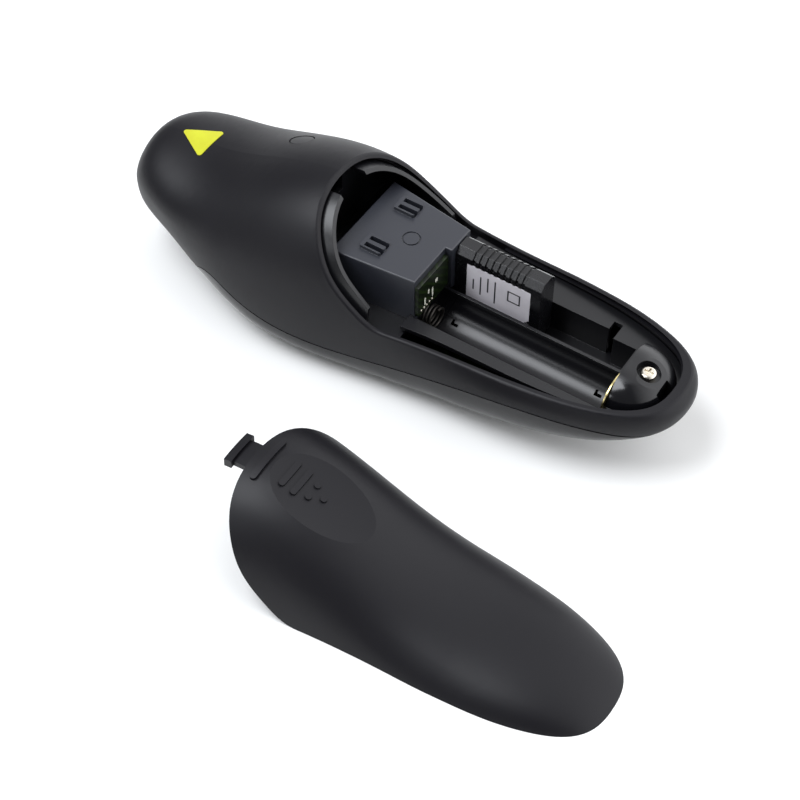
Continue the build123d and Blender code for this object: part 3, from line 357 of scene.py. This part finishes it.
def board_laminate(look):
    """Glass-epoxy laminate under green solder mask, with the paler lines of the copper tracks. The
    mask is drawn darker than it is, as painted shade for the shadow under the housing's roof.
    """
    material, tree, shader, coords = new_finish("shade_darkened_solder_masked_laminate", look.mask, 0.32)
    track_pitch = 1.3 * MM
    # The tracks step sideways from field to field of the board, as tracks that bend do.
    field = (4 * track_pitch, 3 * track_pitch, 3 * track_pitch)
    step = (0.37, 0.61, 0.83)
    fields = add_node(tree, "ShaderNodeVectorMath", {0: coords, 1: field}, operation="SNAP")
    stepped = add_node(
        tree, "ShaderNodeVectorMath",
        {0: fields.outputs["Vector"], 1: step, 2: coords}, operation="MULTIPLY_ADD",
    )
    bands = add_node(
        tree, "ShaderNodeTexWave",
        {"Vector": stepped.outputs["Vector"], "Scale": BAND_SPAN / track_pitch, "Distortion": 0.0},
        wave_type="BANDS", bands_direction="DIAGONAL", wave_profile="SAW",
    )
    edge_from, edge_to = 0.62, 0.68
    track = add_node(
        tree, "ShaderNodeMapRange",
        {"Value": bands.outputs["Fac"], "From Min": edge_from, "From Max": edge_to},
    ).outputs["Result"]
    blend_colour(tree, shader, track, look.mask, look.copper)
    emboss(tree, shader, track, 0.03 * MM, look.edge)
    return material


def plated_metal(name, colour, roughness, grain):
    """Plated metal: bright, with fine wiping marks along the part."""
    material, tree, shader, coords = new_finish(name, colour, roughness, Metallic=1.0)
    # Real wiping marks are finer than the grain given, which is as coarse as it needs to show.
    stretched = (0.15, 1.0, 1.0)
    wiped = add_node(tree, "ShaderNodeMapping", {"Vector": coords, "Scale": stretched})
    marks = add_node(
        tree, "ShaderNodeTexNoise",
        {"Vector": wiped.outputs["Vector"], "Scale": 1 / grain, "Detail": 3},
    ).outputs["Fac"]
    shade_gloss(tree, shader, marks, 0.7 * roughness, 1.4 * roughness)
    emboss(tree, shader, marks, 0.002 * MM, FINE_EDGE)
    return material


def turned_brass(look):
    """Turned brass: rings left by the tool round the barrel."""
    material, tree, shader, coords = new_finish("turned_brass", look.brass, 0.25, Metallic=1.0)
    tool_feed = 0.2 * MM  # a coarse feed, so that the rings show
    rings = add_node(
        tree, "ShaderNodeTexWave",
        {"Vector": coords, "Scale": BAND_SPAN / tool_feed, "Distortion": 0.4},
        wave_type="BANDS", bands_direction="X",
    ).outputs["Fac"]
    shade_gloss(tree, shader, rings, 0.2, 0.32, start=0, end=1)
    emboss(tree, shader, rings, 0.004 * MM, FINE_EDGE)
    return material


def moulded_epoxy(look):
    """Transfer-moulded epoxy: dull black with a fine pitted skin."""
    material, tree, shader, coords = new_finish("moulded_epoxy", look.epoxy, 0.5)
    pits = 0.2 * MM  # coarser than real ones, so that they show
    mottle_gloss(tree, shader, coords, 0.6 * MM, 0.42, 0.6)
    emboss_grain(tree, shader, coords, pits, 0.004 * MM, FINE_EDGE)
    return material


def clear_acrylic(look):
    """Polished acrylic window, faintly smoked so that the laser port reads dark."""
    material, tree, shader, coords = new_finish(
        "polished_acrylic", look.window, 0.04, IOR=1.49, Transmission_Weight=0.9,
    )
    mottle_gloss(tree, shader, coords, 2 * MM, 0.02, 0.07, detail=2)
    return material


# ---------------------------------------------------------------- mesh helpers
def new_piece(name, mesh_builder, material, body):
    """Turns a bmesh into a piece that rides on a body and wears the given finish."""
    mesh = bpy.data.meshes.new(name)
    bmesh.ops.recalc_face_normals(mesh_builder, faces=mesh_builder.faces)
    mesh_builder.to_mesh(mesh)
    mesh_builder.free()
    mesh.materials.append(material)
    piece = bpy.data.objects.new(name, mesh)
    bpy.context.scene.collection.objects.link(piece)
    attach(piece, body)


def add_tile(builder, middle, size, round_by=0.0, along=None):
    """A thin tile; round_by rounds its corners about the axis along."""
    placing = Matrix.LocRotScale(Vector(middle), None, Vector(size))
    made = bmesh.ops.create_cube(builder, size=1.0, matrix=placing)
    if not round_by:
        return
    axis = Vector(along)
    # Two corners share each edge; a dict holds it once, in the order the corners give.
    edges = dict.fromkeys(edge for vert in made["verts"] for edge in vert.link_edges)
    upright = [
        edge for edge in edges
        if abs((edge.verts[1].co - edge.verts[0].co).normalized().dot(axis)) > PARALLEL
    ]
    bmesh.ops.bevel(
        builder, geom=upright, offset=round_by, segments=3, profile=0.5, affect="EDGES", material=-1,
    )


# ---------------------------------------------------------------- operators
class PRESENTER_OT_shells(bpy.types.Operator):
    """Lacquers the back shell, the loose cover and the connect button, and polishes the key side"""
    bl_idname = "presenter.shells"
    bl_label = "Shells and cover"

    def execute(self, context):
        look = context.scene.presenter_finishes
        dress(soft_touch_lacquer(look), "back_shell", "battery_cover", "connect_button")
        dress(polished_abs(look), "front_shell", "key_panel", "power_slider")
        return {"FINISHED"}


class PRESENTER_OT_compartment(bpy.types.Operator):
    """Finishes the tray and the module housing inside the open compartment"""
    bl_idname = "presenter.compartment"
    bl_label = "Compartment"

    def execute(self, context):
        look = context.scene.presenter_finishes
        dress(tray_abs(look), "compartment_tray")
        dress(spark_eroded_abs(look), "module_housing")
        return {"FINISHED"}


class PRESENTER_OT_boards(bpy.types.Operator):
    """Finishes the boards and their parts, and adds plain marks and solder to the one that shows"""
    bl_idname = "presenter.boards"
    bl_label = "Circuit boards"

    def execute(self, context):
        look = context.scene.presenter_finishes
        dress(board_laminate(look), "main_board", "rear_board", "receiver_board")
        dress(
            moulded_epoxy(look),
            "radio_chip", "key_switches", "connect_switch", "power_switch", "plug_insulator",
        )
        self.print_legend(look)
        self.solder_pads(look)
        return {"FINISHED"}

    def print_legend(self, look):
        """Plain white tiles. Each is given as shares across and up the board, and its size in mm."""
        low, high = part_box("rear_board")
        film = 0.03 * MM
        corner = 0.2 * MM
        marks = (
            (0.22, 0.30, 0.5, 2.4),
            (0.34, 0.52, 0.5, 1.5),
            (0.47, 0.36, 0.5, 2.9),
            (0.60, 0.62, 1.0, 1.0),
        )
        builder = bmesh.new()
        for across, up, wide, tall in marks:
            middle = (
                high.x + film / 2,
                low.y + across * (high.y - low.y),
                low.z + up * (high.z - low.z),
            )
            add_tile(builder, middle, (film, wide * MM, tall * MM), corner, (1, 0, 0))
        finish = printed_ink("white_legend_ink", look.legend)
        new_piece("board_legend", builder, finish, "grip")

    def solder_pads(self, look):
        """A row of flattened solder domes near the board's foot."""
        low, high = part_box("rear_board")
        pads = 5
        radius = 0.36 * MM
        flattened = Vector((0.6, 1, 1))
        proud = 0.02 * MM
        inset, pitch, foot = 1.2 * MM, 1.1 * MM, 1.0 * MM
        builder = bmesh.new()
        for pad in range(pads):
            middle = Vector((high.x + proud, low.y + inset + pitch * pad, low.z + foot))
            bmesh.ops.create_uvsphere(
                builder, u_segments=16, v_segments=8, radius=radius,
                matrix=Matrix.LocRotScale(middle, None, flattened),
            )
        finish = plated_metal("wetted_solder", look.nickel, 0.3, 0.4 * MM)
        new_piece("solder_joints", builder, finish, "grip")


class PRESENTER_OT_receiver(bpy.types.Operator):
    """Finishes the receiver and prints plain rules on its bare label"""
    bl_idname = "presenter.receiver"
    bl_label = "USB receiver"

    def execute(self, context):
        look = context.scene.presenter_finishes
        dress(receiver_abs(look), "receiver_shell")
        dress(label_film(look), "receiver_label")
        dress(plated_metal("nickel_plated_sleeve", look.nickel, 0.22, 0.8 * MM), "receiver_plug")
        self.print_rules(look)
        return {"FINISHED"}

    def print_rules(self, look):
        """Plain upright rules of uneven length, with one open square at the far end.

        Each rule is given as mm from the label's low X end, and foot and head as shares of its height.
        """
        low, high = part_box("receiver_label")
        height = high.z - low.z
        film = 0.02 * MM
        rule = 0.35 * MM
        corner = rule / 4
        rules = ((1.8, 0.30, 0.62), (3.7, 0.22, 0.78), (5.6, 0.40, 0.84), (7.5, 0.16, 0.84))
        builder = bmesh.new()
        for across, foot, head in rules:
            tall = (head - foot) * height
            middle = (low.x + across * MM, low.y - film / 2, low.z + foot * height + tall / 2)
            add_tile(builder, middle, (rule, film, tall), corner, (0, 1, 0))
        side = 3.0 * MM
        from_end = 4.2 * MM
        square_up = 0.6
        centre = Vector((high.x - from_end, low.y - film / 2, low.z + square_up * height))
        for turn in (-1, 1):
            across = Vector((turn * side / 2, 0, 0))
            along = Vector((0, 0, turn * side / 2))
            add_tile(builder, centre + across, (rule, film, side + rule), corner, (0, 1, 0))
            add_tile(builder, centre + along, (side - rule, film, rule))
        finish = printed_ink("grey_label_ink", look.ink)
        new_piece("label_rules", builder, finish, "receiver")


class PRESENTER_OT_metal(bpy.types.Operator):
    """Plates the screws, spring, crystal can and contact, and turns the laser barrel"""
    bl_idname = "presenter.metal"
    bl_label = "Metal parts"

    def execute(self, context):
        look = context.scene.presenter_finishes
        dress(
            plated_metal("nickel_plated_steel", look.nickel, 0.2, 0.5 * MM),
            "tail_screw", "board_screws", "crystal_can",
        )
        # The spring wire's dark colour is painted shade, for the shade at the trough's end.
        dress(plated_metal("shade_darkened_spring_wire", look.spring, 0.5, 0.4 * MM), "battery_spring")
        dress(plated_metal("flash_gilded_steel", look.gold, 0.25, 0.6 * MM), "contact_plate")
        dress(turned_brass(look), "laser_barrel")
        return {"FINISHED"}


class PRESENTER_OT_keys(bpy.types.Operator):
    """Moulds the keys in silicone and the windows in acrylic"""
    bl_idname = "presenter.keys"
    bl_label = "Keys and windows"

    def execute(self, context):
        look = context.scene.presenter_finishes
        dress(key_silicone(look), "laser_key", "page_back_key", "page_forward_key", "blank_key")
        dress(clear_acrylic(look), "laser_window", "status_light")
        return {"FINISHED"}


class PRESENTER_OT_sticker(bpy.types.Operator):
    """Gives the plain triangle on the nose its yellow vinyl"""
    bl_idname = "presenter.sticker"
    bl_label = "Nose sticker"

    def execute(self, context):
        dress(sticker_vinyl(context.scene.presenter_finishes), "nose_sticker")
        return {"FINISHED"}


class PRESENTER_OT_stage(bpy.types.Operator):
    """Lays the paper sweep, hangs the lights and sets the camera"""
    bl_idname = "presenter.stage"
    bl_label = "Studio stage"

    def execute(self, context):
        stage = context.scene.presenter_stage
        context.scene.view_settings.view_transform = "Standard"
        self.lay_floor(context, stage)
        self.light_room(context, stage)
        self.hang_light(
            context, stage, "softbox",
            stage.softbox_azimuth, stage.softbox_elevation, stage.softbox_side, stage.softbox,
        )
        self.hang_light(
            context, stage, "edge_strip",
            stage.strip_azimuth, stage.strip_elevation, stage.strip_side, stage.strip,
        )
        self.set_camera(context, stage)
        return {"FINISHED"}

    def lay_floor(self, context, stage):
        """A sheet of paper just under the lowest point of the object."""
        clearance = 0.05 * MM
        builder = bmesh.new()
        bmesh.ops.create_grid(builder, x_segments=2, y_segments=2, size=stage.floor_size / 2)
        mesh = bpy.data.meshes.new("paper_sweep")
        builder.to_mesh(mesh)
        builder.free()
        material, tree, shader, coords = new_finish(
            "matt_paper", stage.floor, 0.85, Specular_IOR_Level=0.2,
        )
        emboss_grain(tree, shader, coords, 1.2 * MM, 0.003 * MM)
        mesh.materials.append(material)
        floor = bpy.data.objects.new("paper_sweep", mesh)
        floor.location.z = CAD_BOX[0][2] - clearance
        context.scene.collection.objects.link(floor)

    def light_room(self, context, stage):
        """Pale walls that give least light on the dim side and most round the bright wall."""
        world = bpy.data.worlds.new("pale_room")
        world.use_nodes = True
        tree = world.node_tree
        walls = tree.nodes["Background"]
        walls.inputs["Color"].default_value = stage.room
        toward = add_node(tree, "ShaderNodeTexCoord").outputs["Generated"]
        bright = (math.sin(stage.room_turn), math.cos(stage.room_turn), 0)
        facing = add_node(
            tree, "ShaderNodeVectorMath", {0: toward, 1: bright}, operation="DOT_PRODUCT",
        )
        dim_below, bright_above = -0.1, 0.6
        level = add_node(
            tree, "ShaderNodeMapRange",
            {
                "Value": facing.outputs["Value"], "From Min": dim_below, "From Max": bright_above,
                "To Min": stage.room_dim, "To Max": stage.room_bright,
            },
        )
        tree.links.new(level.outputs["Result"], walls.inputs["Strength"])
        context.scene.world = world

    def hang_light(self, context, stage, name, azimuth, elevation, side, power):
        """A square lamp that faces the target."""
        data = bpy.data.lights.new(name, "AREA")
        data.shape = "SQUARE"
        data.size = side
        data.energy = power
        data.color = stage.lamp[:3]
        light = bpy.data.objects.new(name, data)
        self.aim(light, stage, azimuth, elevation, stage.lamp_distance)
        context.scene.collection.objects.link(light)

    def aim(self, thing, stage, azimuth, elevation, distance):
        """Puts a light or camera on a sphere round the target and turns it to the target."""
        back = Vector((
            math.sin(azimuth) * math.cos(elevation),
            -math.cos(azimuth) * math.cos(elevation),
            math.sin(elevation),
        ))
        thing.location = Vector(stage.target) + back * distance
        thing.rotation_mode = "QUATERNION"
        thing.rotation_quaternion = (-back).to_track_quat("-Z", "Y")

    def set_camera(self, context, stage):
        data = bpy.data.cameras.new("studio_camera")
        data.lens = stage.lens
        data.sensor_width = 36.0
        data.clip_start = 10 * MM
        camera = bpy.data.objects.new("studio_camera", data)
        self.aim(camera, stage, stage.azimuth, stage.elevation, stage.distance)
        turn = Matrix.Rotation(stage.roll, 4, "Z").to_quaternion()
        camera.rotation_quaternion = camera.rotation_quaternion @ turn
        context.scene.collection.objects.link(camera)
        context.scene.camera = camera


OPERATORS = (
    PRESENTER_OT_shells,
    PRESENTER_OT_compartment,
    PRESENTER_OT_boards,
    PRESENTER_OT_receiver,
    PRESENTER_OT_metal,
    PRESENTER_OT_keys,
    PRESENTER_OT_sticker,
    PRESENTER_OT_stage,
)


class PRESENTER_PT_sidebar(bpy.types.Panel):
    """Lists the steps that dress the presenter"""
    bl_label = "Wireless presenter"
    bl_idname = "PRESENTER_PT_sidebar"
    bl_space_type = "VIEW_3D"
    bl_region_type = "UI"
    bl_category = "Presenter"

    def draw(self, context):
        for step in OPERATORS:
            self.layout.operator(step.bl_idname)
        for settings in (context.scene.presenter_finishes, context.scene.presenter_stage):
            box = self.layout.box()
            for name in settings.__annotations__:
                box.prop(settings, name)


CLASSES = (PresenterFinishes, PresenterStage, *OPERATORS, PRESENTER_PT_sidebar)


def register():
    for cls in CLASSES:
        bpy.utils.register_class(cls)
    bpy.types.Scene.presenter_finishes = PointerProperty(type=PresenterFinishes)
    bpy.types.Scene.presenter_stage = PointerProperty(type=PresenterStage)


def unregister():
    del bpy.types.Scene.presenter_stage
    del bpy.types.Scene.presenter_finishes
    for cls in reversed(CLASSES):
        bpy.utils.unregister_class(cls)


def main():
    register()
    bpy.ops.presenter.shells()
    bpy.ops.presenter.compartment()
    bpy.ops.presenter.boards()
    bpy.ops.presenter.receiver()
    bpy.ops.presenter.metal()
    bpy.ops.presenter.keys()
    bpy.ops.presenter.sticker()
    bpy.ops.presenter.stage()


if __name__ == "__main__":
    main()
